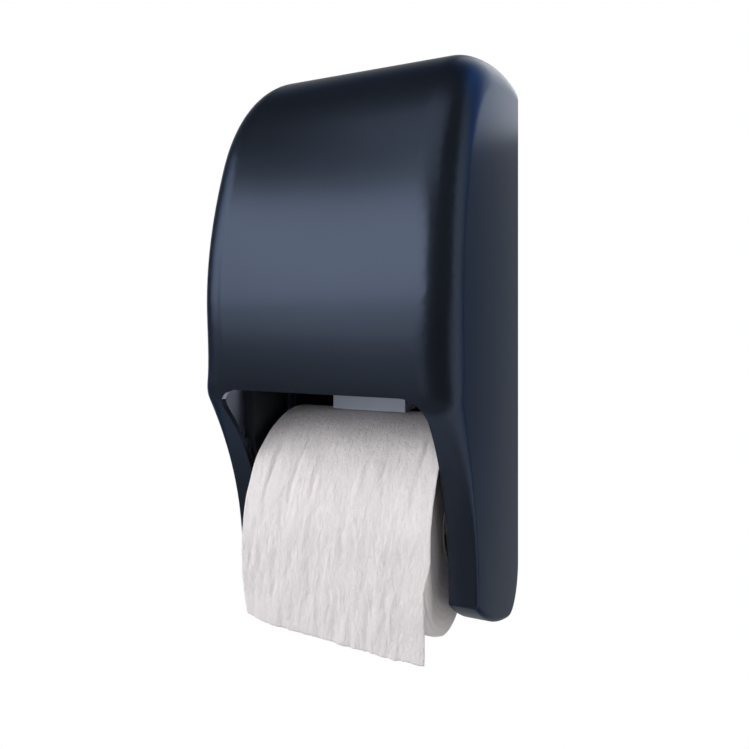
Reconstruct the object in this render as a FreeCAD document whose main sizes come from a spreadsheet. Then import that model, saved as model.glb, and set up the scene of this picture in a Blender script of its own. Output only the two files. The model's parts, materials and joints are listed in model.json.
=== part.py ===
"""Wall-hung toilet paper dispenser for two rolls, in millimetres.

The wall is the plane y = 0, the user stands at -y, +z is up and the origin is
the middle of the wall face.  A moulded cover swings forward and down on two
pins in its heel.  Behind it a back plate carries two side arms with the roll
tracks, the latches that hold the reserve roll and the brake flap that lies on
the lower roll.
"""
import FreeCAD, Part
import os
import Sketcher

SIZES = {
    # case
    "case_wall": 2.8,
    "top_room": 43.2,
    "front_room": 15.2,
    "bottom_room": 16.0,
    "side_draft_angle": 2.0,
    "brow_flat_radius": 235.0,
    "brow_angle": 20.0,
    "face_radius": 590.0,
    "crease_drop": 38.0,
    "lip_radius": 19.5,
    "lip_angle": 44.0,
    "toe_rise": 25.5,
    "heel_radius": 25.0,
    "belly_radius": 274.0,
    "toe_height": 19.4,
    "toe_round": 2.5,
    "back_round": 16.0,
    "brow_round": 21.0,
    "face_round": 19.0,
    "lip_round": 18.0,
    "lip_end_round": 13.5,
    "cheek_round": 2.4,
    "cheek_inner_round": 0.6,
    "belly_round": 3.0,
    "rim_round": 0.8,
    "mouth_side_gap": 5.7,
    "mouth_drop": 3.0,
    "mouth_corner": 12.0,
    # cover hinge
    "hinge_pin_radius": 2.5,
    "hinge_boss_radius": 7.0,
    "hinge_boss_length": 12.0,
    "hinge_bore_floor": 1.0,
    "hinge_pin_end_gap": 0.8,
    "hinge_lug_width": 10.0,
    "running_clearance": 0.06,
    # back plate
    "plate_gap": 3.2,
    "plate_side_gap": 0.5,
    "plate_thickness": 3.0,
    "plate_top_gap": 10.0,
    "plate_rim": 2.0,
    "plate_rim_height": 10.0,
    "plate_corner": 9.0,
    "plate_shoulder_rise": 6.0,
    "plate_foot_gap": 12.0,
    "tongue_gap": 1.5,
    "mount_spacing_x": 76.0,
    "mount_spacing_z": 210.0,
    "mount_hole_radius": 2.75,
    "mount_boss_radius": 8.0,
    "mount_boss_height": 2.0,
    "rib_thickness": 2.0,
    "rib_height": 4.0,
    "rib_spacing": 24.0,
    "rib_length": 190.0,
    # rolls
    "roll_radius": 60.0,
    "roll_width": 100.0,
    "roll_back_room": 22.0,
    "roll_gap": 54.0,
    "core_radius": 21.0,
    "core_wall": 1.2,
    "core_clearance": 0.3,
    "tail_thickness": 0.6,
    "tail_clearance": 0.3,
    "tail_length": 46.0,
    "tail_slant": 6.0,
    "tail_lap": 4.0,
    # spindles
    "trunnion_radius": 5.0,
    "trunnion_overhang": 5.0,
    "spindle_rod_radius": 8.0,
    "spindle_fin_thickness": 3.0,
    "spindle_fin_inset": 6.0,
    "spindle_end_gap": 0.8,
    "seat_clearance": 0.3,
    # side arms
    "arm_clearance": 5.5,
    "arm_thickness": 3.0,
    "arm_ahead": 42.0,
    "arm_top_rise": 38.0,
    "arm_bottom_drop": 26.0,
    "arm_bottom_ahead": 14.0,
    "arm_knee_ahead": 26.0,
    "arm_knee_rise": 2.0,
    "arm_front_drop": 47.0,
    "arm_root_rise": 6.0,
    "arm_foot_width": 8.0,
    "arm_foot_thickness": 3.0,
    "arm_pad_height": 3.0,
    "arm_corner": 14.0,
    "arm_rib_width": 4.0,
    "arm_rib_height": 3.0,
    "arm_gusset_length": 16.0,
    "arm_gusset_spacing": 100.0,
    "track_exit_rise": 14.0,
    "track_exit_slope": 8.0,
    # screws
    "screw_radius": 1.5,
    "screw_head_radius": 3.2,
    "screw_head_height": 2.0,
    "screw_floor": 1.2,
    "arm_screw_inset": 17.0,
    # reserve latches
    "latch_thickness": 2.6,
    "latch_clearance": 0.4,
    "latch_ahead": 22.0,
    "latch_below": 20.0,
    "latch_hub_radius": 7.0,
    "latch_nose_half": 6.0,
    "latch_tail_half": 4.5,
    "latch_tail_length": 58.0,
    "latch_pad_reach": 10.0,
    "latch_pad_height": 14.0,
    "latch_pin_radius": 2.5,
    "latch_pin_head_radius": 5.0,
    "latch_pin_head_height": 1.2,
    "latch_pin_gap": 0.2,
    # brake flap
    "brake_width": 46.0,
    "brake_thickness": 3.0,
    "brake_pivot_depth": 13.0,
    "brake_pivot_rise": 30.0,
    "brake_gap": 1.0,
    "brake_tip_reach": 6.0,
    "brake_sole_length": 18.0,
    "brake_lip_height": 13.0,
    "brake_knuckle_radius": 5.0,
    "brake_rod_radius": 2.0,
    "brake_lug_width": 4.0,
    "brake_lug_gap": 0.5,
    "brake_rod_overhang": 1.0,
    # lock
    "lock_depth": 30.0,
    "lock_body_radius": 8.0,
    "lock_head_radius": 10.0,
    "lock_head_height": 2.4,
    "lock_head_rise": 0.6,
    "lock_boss_radius": 13.0,
    "lock_boss_depth": 10.0,
    "lock_fit": 0.1,
    "lock_plug_radius": 5.5,
    "lock_key_length": 7.0,
    "lock_key_width": 1.8,
    "lock_key_depth": 4.0,
    "lock_nut_flats": 22.0,
    "lock_nut_height": 4.5,
    "lock_body_tail": 3.5,
    "cam_thickness": 3.0,
    "cam_radius": 11.0,
    "cam_wall": 3.0,
    "cam_drop": 10.0,
    "cam_slot": 10.0,
    "cam_screw_radius": 2.0,
    "cam_screw_head_radius": 4.0,
    "cam_screw_head_height": 2.4,
    "cam_screw_grip": 6.0,
    # lock keeper
    "keeper_post_radius": 4.0,
    "keeper_post_gap": 2.0,
    "keeper_shelf_gap": 2.0,
    "keeper_shelf_thickness": 4.0,
    "keeper_shelf_half": 10.0,
    "keeper_foot_half": 17.0,
    "keeper_foot_drop": 16.0,
    "keeper_foot_rise": 6.0,
    "keeper_foot_thickness": 3.0,
    "keeper_screw_inset": 6.0,
    "keeper_screw_drop": 8.0,
    "keeper_gusset_length": 14.0,
    # cuts run past the solid by this much
    "overrun": 2.0,
}

doc = FreeCAD.newDocument("two_roll_dispenser")
sizes = doc.addObject("Spreadsheet::Sheet", "dim")
for row, (alias, size) in enumerate(SIZES.items(), start=1):
    sizes.set(f"A{row}", alias)
    sizes.set(f"B{row}", str(size))
    sizes.setAlias(f"B{row}", alias)
places = doc.addObject("Spreadsheet::Sheet", "place")
doc.recompute()

V = FreeCAD.Vector
LEFT, RIGHT = -1, 1
CCW, CW = 1, -1


def amount(expression):
    """Number that an expression of the sheet's sizes gives."""
    return float(sizes.evalExpression(expression))


def settle(row, alias, formula):
    """Keep a worked-out place in the second sheet, and give its name."""
    places.set(f"A{row}", alias)
    places.set(f"B{row}", f"={formula}")
    places.setAlias(f"B{row}", alias)
    doc.recompute()
    return f"place.{alias}"


# Places that several pieces share, as expressions of the sheet's sizes.
CASE_HEIGHT = ("(dim.case_wall + dim.top_room + 4 * dim.roll_radius"
               " + dim.roll_gap + dim.bottom_room)")
CASE_TOP = f"({CASE_HEIGHT} / 2)"
ROLL_DEPTH = "(dim.roll_radius + dim.roll_back_room)"
CASE_DEPTH = f"({ROLL_DEPTH} + dim.roll_radius + dim.front_room + dim.case_wall)"
RESERVE_Z = f"({CASE_TOP} - dim.case_wall - dim.top_room - dim.roll_radius)"
LOWER_Z = f"({RESERVE_Z} - 2 * dim.roll_radius - dim.roll_gap)"
ROLL_Y = f"(0 - {ROLL_DEPTH})"
HINGE_Z = f"(dim.heel_radius - {CASE_TOP})"
FACE_Z = f"({CASE_TOP} - {CASE_DEPTH})"
CREASE_Z = f"({FACE_Z} - dim.crease_drop)"
MOUTH_Z = f"({CREASE_Z} - dim.mouth_drop)"
ARM_IN = "(dim.roll_width / 2 + dim.arm_clearance)"
ARM_OUT = f"({ARM_IN} + dim.arm_thickness)"
FOOT_EDGE = f"({ARM_OUT} + dim.arm_foot_width)"
FOOT_BACK = "(dim.plate_thickness + dim.arm_pad_height)"
FOOT_FRONT = f"({FOOT_BACK} + dim.arm_foot_thickness)"
PLATE_HALF = f"({FOOT_EDGE} + dim.plate_side_gap + dim.plate_rim)"
PLATE_TOP = f"({CASE_TOP} - dim.plate_top_gap)"
TONGUE_HALF = f"({ARM_IN} - dim.tongue_gap)"
SHOULDER_Z = f"({HINGE_Z} + dim.heel_radius + dim.plate_shoulder_rise)"
TONGUE_Z = f"(dim.plate_foot_gap - {CASE_TOP})"
ARM_ROOT_Z = f"({SHOULDER_Z} + dim.plate_rim + dim.arm_root_rise)"
ARM_TOP = f"({RESERVE_Z} + dim.arm_top_rise)"
ARM_MID = f"(({ARM_ROOT_Z} + {ARM_TOP}) / 2)"
CASE_IN = f"({PLATE_HALF} + dim.plate_gap)"
CASE_HALF = f"({CASE_IN} + dim.case_wall)"
LATCH_OUT = f"({ARM_IN} - dim.latch_clearance)"
LATCH_IN = f"({LATCH_OUT} - dim.latch_thickness)"
LATCH_Y = f"({ROLL_DEPTH} + dim.latch_ahead)"
LATCH_Z = f"({RESERVE_Z} - dim.latch_below)"
TRACK_HALF = "(dim.trunnion_radius + dim.seat_clearance)"
SCREW_X = f"({ARM_OUT} + dim.arm_foot_width / 2)"
BRAKE_Z = f"({LOWER_Z} + dim.roll_radius + dim.brake_pivot_rise)"
BRAKE_LUG_IN = "(dim.brake_width / 2 + dim.brake_lug_gap)"
BRAKE_LUG_OUT = f"({BRAKE_LUG_IN} + dim.brake_lug_width)"
CASE_AT_LOCK = (f"({CASE_TOP} - dim.brow_flat_radius"
                " + sqrt(dim.brow_flat_radius ^ 2 - dim.lock_depth ^ 2))")
LOCK_TOP = f"({CASE_AT_LOCK} + dim.lock_head_rise)"
LOCK_SEAT = f"({LOCK_TOP} - dim.lock_head_height)"
LOCK_BOSS_Z = f"({LOCK_SEAT} - dim.lock_boss_depth)"
LOCK_END = f"({LOCK_BOSS_Z} - dim.lock_nut_height - dim.lock_body_tail)"
CAM_TOP = f"({LOCK_END} - dim.seat_clearance)"
CAM_BASE = f"({CAM_TOP} - dim.cam_thickness)"
CAM_END = f"({CAM_BASE} - dim.cam_drop)"
POST_TOP = f"({CAM_BASE} - dim.cam_screw_head_height - dim.keeper_post_gap)"
SHELF_TOP = f"({CAM_END} - dim.keeper_shelf_gap)"
SHELF_BASE = f"({SHELF_TOP} - dim.keeper_shelf_thickness)"


def new_body(label):
    body = doc.addObject("PartDesign::Body", label)
    body.Label = label
    return body


def sketch_on(body, role, offset="0"):
    """Sketch on one of the body's origin planes, moved along its normal."""
    sketch = body.newObject("Sketcher::SketchObject", f"{body.Label}_sketch")
    plane = next(o for o in body.Origin.OriginFeatures if o.Role == role)
    sketch.AttachmentSupport = [(plane, "")]
    sketch.MapMode = "FlatFace"
    if offset != "0":
        sketch.setExpression("AttachmentOffset.Base.z", offset)
    return sketch


def bind(sketch, constraint, expression):
    index = sketch.addConstraint(constraint)
    if expression != "0":
        sketch.setExpression(f"Constraints[{index}]", expression)


def arc_through(start, end, radius, turn):
    """Arc of under half a circle that bends left (CCW) or right (CW)."""
    chord = end - start
    middle = (start + end) * 0.5
    left = V(-chord.y, chord.x, 0).normalize()
    half = chord.Length / 2
    rise = radius - max(radius ** 2 - half ** 2, 0) ** 0.5
    return Part.Arc(start, middle - left * (turn * rise), end)


def trace(sketch, corners):
    """Closed outline.  A corner is (u, v), with (radius, turn) after it where
    an arc leads on to the next corner."""
    points = [V(amount(c[0]), amount(c[1]), 0) for c in corners]
    ends = []
    for i, corner in enumerate(corners):
        start, end = points[i], points[(i + 1) % len(points)]
        if len(corner) == 4:
            curve = arc_through(start, end, amount(corner[2]), corner[3])
        else:
            curve = Part.LineSegment(start, end)
        edge = sketch.addGeometry(curve, False)
        flipped = len(corner) == 4 and corner[3] == CW
        ends.append((edge, 2, 1) if flipped else (edge, 1, 2))
    for i, corner in enumerate(corners):
        edge, first, last = ends[i]
        following = ends[(i + 1) % len(ends)]
        sketch.addConstraint(Sketcher.Constraint(
            "Coincident", edge, last, following[0], following[1]))
        bind(sketch, Sketcher.Constraint(
            "DistanceX", -1, 1, edge, first, points[i].x), corner[0])
        bind(sketch, Sketcher.Constraint(
            "DistanceY", -1, 1, edge, first, points[i].y), corner[1])
        if len(corner) == 4:
            bind(sketch, Sketcher.Constraint(
                "Radius", edge, amount(corner[2])), corner[2])


def ring(sketch, u, v, radius):
    """Circle at (u, v)."""
    centre = V(amount(u), amount(v), 0)
    edge = sketch.addGeometry(
        Part.Circle(centre, V(0, 0, 1), amount(radius)), False)
    bind(sketch, Sketcher.Constraint(
        "DistanceX", -1, 1, edge, 3, centre.x), u)
    bind(sketch, Sketcher.Constraint(
        "DistanceY", -1, 1, edge, 3, centre.y), v)
    bind(sketch, Sketcher.Constraint("Radius", edge, amount(radius)), radius)


def extrude(body, kind, sketch, length, back=False, both=False):
    """Pad or Pocket of a sketch along its normal, or back from it."""
    feature = body.newObject(f"PartDesign::{kind}", f"{body.Label}_{kind}")
    feature.Profile = sketch
    feature.setExpression("Length", length)
    feature.Reversed = back
    if both:
        feature.SideType = "Symmetric"
    sketch.Visibility = False
    return feature


def pad(body, role, offset, corners, length, back=False, both=False):
    sketch = sketch_on(body, role, offset)
    trace(sketch, corners)
    return extrude(body, "Pad", sketch, length, back, both)


def pocket(body, role, offset, corners, length, back=False, both=False):
    sketch = sketch_on(body, role, offset)
    trace(sketch, corners)
    return extrude(body, "Pocket", sketch, length, back, both)


def round_pad(body, role, offset, circles, length, back=False, both=False):
    sketch = sketch_on(body, role, offset)
    for circle in circles:
        ring(sketch, *circle)
    return extrude(body, "Pad", sketch, length, back, both)


def drill(body, role, offset, circles, length, back=False, both=False):
    sketch = sketch_on(body, role, offset)
    for circle in circles:
        ring(sketch, *circle)
    return extrude(body, "Pocket", sketch, length, back, both)


def box(u0, v0, u1, v1):
    return [(u0, v0), (u1, v0), (u1, v1), (u0, v1)]


def sided(side, expression):
    """Expression on the right side, or its mirror image on the left."""
    return f"({side}) * ({expression})"


# Case

# Lip and cheek: the lip's centre, and the cheek hollow that runs from the lip
# to the toe at the height set for it.
BOW_SIN = "(dim.crease_drop / dim.face_radius)"
BOW_COS = f"sqrt(1 - {BOW_SIN} ^ 2)"
LIP_REACH = settle(1, "lip_reach", f"{CASE_DEPTH} - dim.face_radius"
                   f" + (dim.face_radius - dim.lip_radius) * {BOW_COS}")
LIP_Z = settle(2, "lip_z",
               f"{FACE_Z} - (dim.face_radius - dim.lip_radius) * {BOW_SIN}")
CHEEK_Z = f"({HINGE_Z} + dim.toe_rise)"
CHEEK_RADIUS = settle(3, "cheek_radius", f"({LIP_Z} - {CHEEK_Z})"
                      " / sin(dim.lip_angle) - dim.lip_radius")
TOE_REACH = settle(4, "toe_reach", f"{LIP_REACH} + dim.lip_radius"
                   f" * cos(dim.lip_angle) + {CHEEK_RADIUS}"
                   " * (cos(dim.lip_angle) - 1)")

# Belly: the arc that is tangent to the heel and ends at the toe.  Its centre
# lies along and above the line from the hinge to the toe.
SWEEP = "(dim.belly_radius - dim.heel_radius)"
TOE_AHEAD = settle(5, "toe_ahead", f"{TOE_REACH} - dim.heel_radius")
TOE_SPAN = settle(6, "toe_span",
                  f"sqrt({TOE_AHEAD} ^ 2 + dim.toe_height ^ 2)")
ALONG = settle(7, "belly_along", f"({SWEEP} ^ 2 - dim.belly_radius ^ 2"
               f" + {TOE_SPAN} ^ 2) / (2 * {TOE_SPAN})")
ABOVE = settle(8, "belly_above", f"sqrt({SWEEP} ^ 2 - {ALONG} ^ 2)")
BELLY_REACH = settle(9, "belly_reach", f"dim.heel_radius + ({ALONG}"
                     f" * {TOE_AHEAD} - {ABOVE} * dim.toe_height) / {TOE_SPAN}")
BELLY_Z = settle(10, "belly_z", f"{HINGE_Z} + ({ALONG} * dim.toe_height"
                 f" + {ABOVE} * {TOE_AHEAD}) / {TOE_SPAN}")
BELLY_SIN = f"((dim.heel_radius - {BELLY_REACH}) / {SWEEP})"
BELLY_COS = f"(({BELLY_Z} - {HINGE_Z}) / {SWEEP})"


def case_outline(inset, open_back=False):
    """Side outline of the case as (y, z), drawn inward by an inset.

    Brow of three tangent arcs, bulged face, rounded lip, hollow cheek, upright
    toe, belly and a heel that is round about the hinge."""
    flat, turn = "dim.brow_flat_radius", "dim.brow_angle"
    brow = (f"(({CASE_DEPTH} - {flat} * (1 + sin({turn}) - cos({turn})))"
            f" / (cos({turn}) - sin({turn})))")
    cheek_y = f"({TOE_REACH} - {inset})"
    toe_z = (f"{BELLY_Z} - sqrt((dim.belly_radius - {inset}) ^ 2"
             f" - ({cheek_y} - {BELLY_REACH}) ^ 2)")
    corners = [
        ("0", f"{CASE_TOP} - {inset}", f"{flat} - {inset}", CCW),
        (f"0 - ({flat} - {inset}) * sin({turn})",
         f"{CASE_TOP} - {flat} + ({flat} - {inset}) * cos({turn})",
         f"{brow} - {inset}", CCW),
        (f"0 - ({flat} - {brow}) * sin({turn})"
         f" - ({brow} - {inset}) * cos({turn})",
         f"{CASE_TOP} - {flat} + ({flat} - {brow}) * cos({turn})"
         f" + ({brow} - {inset}) * sin({turn})",
         f"{flat} - {inset}", CCW),
        (f"{inset} - {CASE_DEPTH}", FACE_Z,
         f"dim.face_radius - {inset}", CCW),
        (f"dim.face_radius - {CASE_DEPTH}"
         f" - (dim.face_radius - {inset}) * {BOW_COS}",
         f"{FACE_Z} - (dim.face_radius - {inset}) * {BOW_SIN}",
         f"dim.lip_radius - {inset}", CCW),
        (f"0 - {LIP_REACH} - (dim.lip_radius - {inset}) * cos(dim.lip_angle)",
         f"{LIP_Z} - (dim.lip_radius - {inset}) * sin(dim.lip_angle)",
         f"{CHEEK_RADIUS} + {inset}", CW),
        (f"0 - {cheek_y}", CHEEK_Z),
        (f"0 - {cheek_y}", toe_z, f"dim.belly_radius - {inset}", CCW),
        (f"0 - {BELLY_REACH} - (dim.belly_radius - {inset}) * {BELLY_SIN}",
         f"{BELLY_Z} - (dim.belly_radius - {inset}) * {BELLY_COS}",
         f"dim.heel_radius - {inset}", CCW),
        (f"0 - {inset}", HINGE_Z),
    ]
    if open_back:
        corners.append(("dim.overrun", HINGE_Z))
        corners.append(("dim.overrun", f"{CASE_TOP} - {inset}"))
    return corners


def case_solid(label, inset, open_back=False):
    """Case block of that outline, narrower to the front by the draft, with
    broad shoulders that tighten from the lip to the cheeks."""
    body = new_body(label)
    corners = case_outline(inset, open_back)
    pad(body, "YZ_Plane", "0", corners, f"2 * ({CASE_HALF} - {inset})",
        both=True)
    half = f"({CASE_HALF} - {inset})"
    reach = f"({CASE_DEPTH} + dim.overrun)"
    taken = f"{reach} * tan(dim.side_draft_angle)"
    flanks = sketch_on(body, "XY_Plane")
    for side in (LEFT, RIGHT):
        trace(flanks, [(sided(side, half), "0"),
                       (sided(side, f"{half} + dim.overrun"), "0"),
                       (sided(side, f"{half} + dim.overrun"), f"0 - {reach}"),
                       (sided(side, f"{half} - {taken}"), f"0 - {reach}")])
    extrude(body, "Pocket", flanks, f"{CASE_HEIGHT} + dim.overrun", both=True)
    doc.recompute()
    broad = [f"dim.{name}_round - {inset}"
             for name in ("back", "brow", "brow", "face", "lip", "lip_end")]
    if open_back:
        cheek = "dim.cheek_inner_round"
        radii = broad + [cheek, cheek, "0", "0", "0", broad[0]]
    else:
        sharp = body.Tip
        rounded = body.newObject("PartDesign::Fillet", f"{label}_toe")
        rounded.Base = (sharp, [f"Edge{toe_edge(sharp.Shape)}"])
        rounded.setExpression("Radius", "dim.toe_round")
        doc.recompute()
        cheek = "dim.cheek_round"
        radii = broad + [cheek, cheek, "dim.belly_round", "dim.rim_round"]
    shoulders = doc.addObject("Part::Fillet", f"{label}_shoulders")
    shoulders.Base = body
    shoulders.Edges = shoulder_edges(body.Shape, corners, radii)
    doc.recompute()
    return shoulders


def toe_edge(shape):
    """Number of the cross edge between the upright toe and the belly."""
    across = [(number, edge) for number, edge in enumerate(shape.Edges, 1)
              if abs(edge.tangentAt(edge.FirstParameter).x) > 0.99]
    low = [(number, edge) for number, edge in across
           if edge.CenterOfMass.z < amount(f"({CREASE_Z} + {HINGE_Z}) / 2")]
    lowest_y = min(edge.CenterOfMass.y for number, edge in low)
    front = [(number, edge) for number, edge in low
             if edge.CenterOfMass.y < lowest_y + amount("dim.case_wall")]
    return min(front, key=lambda pair: pair[1].CenterOfMass.z)[0]


def shoulder_edges(shape, corners, radii):
    """(edge, radius, radius) for each edge along the two flanks, in outline
    order.  Its ends take the radius of the nearest outline corner, the rim at
    the wall is fine, and an edge with a radius of nothing stays sharp."""
    stations = [V(0, amount(c[0]), amount(c[1])) for c in corners]
    rounds = [amount(radius) for radius in radii]

    def station(point):
        side_on = V(0, point.y, point.z)
        return min(range(len(stations)),
                   key=lambda i: stations[i].distanceToPoint(side_on))

    flanks = {LEFT: [], RIGHT: []}
    for number, edge in enumerate(shape.Edges, start=1):
        first = edge.valueAt(edge.FirstParameter)
        last = edge.valueAt(edge.LastParameter)
        if abs(first.x - last.x) < amount(CASE_HALF):
            start, end = station(first), station(last)
            closing = abs(start - end) > 1
            place = max(start, end) if closing else min(start, end)
            side = RIGHT if first.x > 0 else LEFT
            flanks[side].append((place, number, start, end))
    chosen = []
    for edges in flanks.values():
        edges.sort()
        onward = edges[0][2] < edges[0][3]
        for place, number, start, end in edges:
            ends = [rounds[start], rounds[end]]
            if abs(start - end) > 1:
                ends = [min(ends), min(ends)]
            elif (start < end) != onward:
                ends.reverse()
            if min(ends) > 0:
                chosen.append((number, *ends))
    return chosen


def boss(label, radius, height, x, y, z, along_x=0):
    """Plain cylinder, upright or along x, bound to the sheet."""
    cylinder = doc.addObject("Part::Cylinder", label)
    cylinder.setExpression("Radius", radius)
    cylinder.setExpression("Height", height)
    if along_x:
        cylinder.Placement.Rotation = FreeCAD.Rotation(V(0, 1, 0), 90)
    cylinder.setExpression("Placement.Base.x", x)
    cylinder.setExpression("Placement.Base.y", y)
    cylinder.setExpression("Placement.Base.z", z)
    return cylinder


def front_cover():
    """Shell between two case solids, with bosses left standing inside it for
    the lock and the hinge pins, and the mouth cut through face and belly."""
    outer = case_solid("case_outer", "0")
    hollow = case_solid("case_hollow", "dim.case_wall", open_back=True)
    lock_boss = boss("lock_boss", "dim.lock_boss_radius",
                     f"{CASE_TOP} - {LOCK_BOSS_Z}", "0", "0 - dim.lock_depth",
                     LOCK_BOSS_Z)
    hinge_bosses = [
        boss("hinge_boss", "dim.hinge_boss_radius",
             "dim.hinge_boss_length + dim.overrun",
             f"{CASE_IN} - dim.hinge_boss_length" if side == RIGHT
             else f"0 - {CASE_IN} - dim.overrun",
             "0 - dim.heel_radius", HINGE_Z, along_x=1)
        for side in (LEFT, RIGHT)]
    bosses = doc.addObject("Part::MultiFuse", "cover_bosses")
    bosses.Shapes = [lock_boss] + hinge_bosses
    room = doc.addObject("Part::Cut", "cover_room")
    room.Base, room.Tool = hollow, bosses
    shell = doc.addObject("Part::Cut", "cover_shell")
    shell.Base, shell.Tool = outer, room
    doc.recompute()

    cover = new_body("front_cover")
    cover.BaseFeature = shell
    half = "(dim.roll_width / 2 + dim.mouth_side_gap)"
    corner = "dim.mouth_corner"
    floor = f"0 - {CASE_TOP} - dim.overrun"
    pocket(cover, "XZ_Plane", "0", [
        (f"0 - {half}", floor),
        (half, floor),
        (half, f"{MOUTH_Z} - {corner}", corner, CCW),
        (f"{half} - {corner}", MOUTH_Z),
        (f"{corner} - {half}", MOUTH_Z, corner, CCW),
        (f"0 - {half}", f"{MOUTH_Z} - {corner}"),
    ], f"2 * {CASE_DEPTH} + dim.overrun", both=True)
    drill(cover, "YZ_Plane", "0",
          [("0 - dim.heel_radius", HINGE_Z,
            "dim.hinge_pin_radius + dim.running_clearance")],
          f"2 * ({CASE_IN} - dim.hinge_bore_floor)", both=True)
    drill(cover, "XY_Plane", LOCK_SEAT,
          [("0", "0 - dim.lock_depth",
            "dim.lock_head_radius + dim.seat_clearance")],
          "dim.case_wall + dim.overrun", back=True)
    drill(cover, "XY_Plane", f"{LOCK_BOSS_Z} - dim.overrun",
          [("0", "0 - dim.lock_depth",
            "dim.lock_body_radius + dim.lock_fit")],
          "dim.lock_boss_depth + 2 * dim.overrun", back=True)
    return cover


# Back plate and what is fixed to it

def plate_outline(inset):
    """Front view of the back plate: full width down to the shoulders and a
    narrower tongue that clears the turning heels of the cover."""
    half, tongue = f"({PLATE_HALF} - {inset})", f"({TONGUE_HALF} - {inset})"
    top, corner = f"({PLATE_TOP} - {inset})", f"(dim.plate_corner - {inset})"
    shoulder, foot = f"({SHOULDER_Z} + {inset})", f"({TONGUE_Z} + {inset})"
    return [
        (f"0 - {tongue}", foot), (tongue, foot),
        (tongue, shoulder), (half, shoulder),
        (half, f"{top} - {corner}", corner, CCW), (f"{half} - {corner}", top),
        (f"{corner} - {half}", top, corner, CCW),
        (f"0 - {half}", f"{top} - {corner}"),
        (f"0 - {half}", shoulder), (f"0 - {tongue}", shoulder)]


def both_sides(near, far):
    """(offset, length) of a slab on the left and on the right."""
    return [(f"0 - {far}", f"{far} - {near}"), (near, f"{far} - {near}")]


def lugs(plate, near, far, depth, z, radius):
    """Lug on each side that stands out from the plate, round at its end."""
    for offset, length in both_sides(near, far):
        pad(plate, "YZ_Plane", offset,
            box(f"0 - {depth}", f"{z} - {radius}",
                "0 - dim.plate_thickness", f"{z} + {radius}"), length)
        round_pad(plate, "YZ_Plane", offset, [(f"0 - {depth}", z, radius)],
                  length)


ARM_SCREW_Z = [f"{ARM_ROOT_Z} + dim.arm_screw_inset", ARM_MID,
               f"{ARM_TOP} - dim.arm_screw_inset"]
KEEPER_SCREW_X = "(dim.keeper_foot_half - dim.keeper_screw_inset)"
KEEPER_SCREW_Z = f"({SHELF_BASE} - dim.keeper_screw_drop)"
KEEPER_FOOT_Z = f"({SHELF_BASE} - dim.keeper_foot_drop)"
KEEPER_HEAD_Z = f"({SHELF_TOP} + dim.keeper_foot_rise)"


def arm_screw_circles(radius):
    return [(sided(side, SCREW_X), z, radius)
            for side in (LEFT, RIGHT) for z in ARM_SCREW_Z]


def keeper_screw_circles(radius):
    return [(sided(side, KEEPER_SCREW_X), KEEPER_SCREW_Z, radius)
            for side in (LEFT, RIGHT)]


def mount_circles(radius):
    return [(sided(side, "dim.mount_spacing_x / 2"),
             sided(end, "dim.mount_spacing_z / 2"), radius)
            for side in (LEFT, RIGHT) for end in (LEFT, RIGHT)]


def back_plate():
    plate = new_body("back_plate")
    pad(plate, "XZ_Plane", "0", plate_outline("0"), "dim.plate_rim_height")
    pocket(plate, "XZ_Plane", "dim.plate_thickness",
           plate_outline("dim.plate_rim"), "dim.plate_rim_height", back=True)
    face = "dim.plate_thickness"
    for side in (LEFT, RIGHT):
        pad(plate, "XZ_Plane", face,
            box(sided(side, ARM_IN), ARM_ROOT_Z,
                sided(side, FOOT_EDGE), ARM_TOP),
            "dim.arm_pad_height")
    pad(plate, "XZ_Plane", face,
        box("0 - dim.keeper_foot_half", KEEPER_FOOT_Z,
            "dim.keeper_foot_half", KEEPER_HEAD_Z), "dim.arm_pad_height")
    for side in (LEFT, RIGHT):
        rib = sided(side, "dim.rib_spacing / 2")
        pad(plate, "XZ_Plane", face,
            box(f"{rib} - dim.rib_thickness / 2", "0 - dim.rib_length / 2",
                f"{rib} + dim.rib_thickness / 2", "dim.rib_length / 2"),
            "dim.rib_height")
    round_pad(plate, "XZ_Plane", face, mount_circles("dim.mount_boss_radius"),
              "dim.mount_boss_height")
    lugs(plate, BRAKE_LUG_IN, BRAKE_LUG_OUT, "dim.brake_pivot_depth", BRAKE_Z,
         "dim.brake_knuckle_radius")
    lugs(plate, f"({TONGUE_HALF} - dim.hinge_lug_width)", TONGUE_HALF,
         "dim.heel_radius", HINGE_Z, "dim.hinge_boss_radius")
    drill(plate, "YZ_Plane", "0",
          [("0 - dim.brake_pivot_depth", BRAKE_Z, "dim.brake_rod_radius"),
           ("0 - dim.heel_radius", HINGE_Z, "dim.hinge_pin_radius")],
          f"2 * {PLATE_HALF}", both=True)
    drill(plate, "XZ_Plane", "0", mount_circles("dim.mount_hole_radius"),
          "2 * dim.plate_rim_height", both=True)
    drill(plate, "XZ_Plane", FOOT_BACK,
          arm_screw_circles("dim.screw_radius")
          + keeper_screw_circles("dim.screw_radius"),
          f"{FOOT_BACK} - dim.screw_floor")
    return plate


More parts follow.
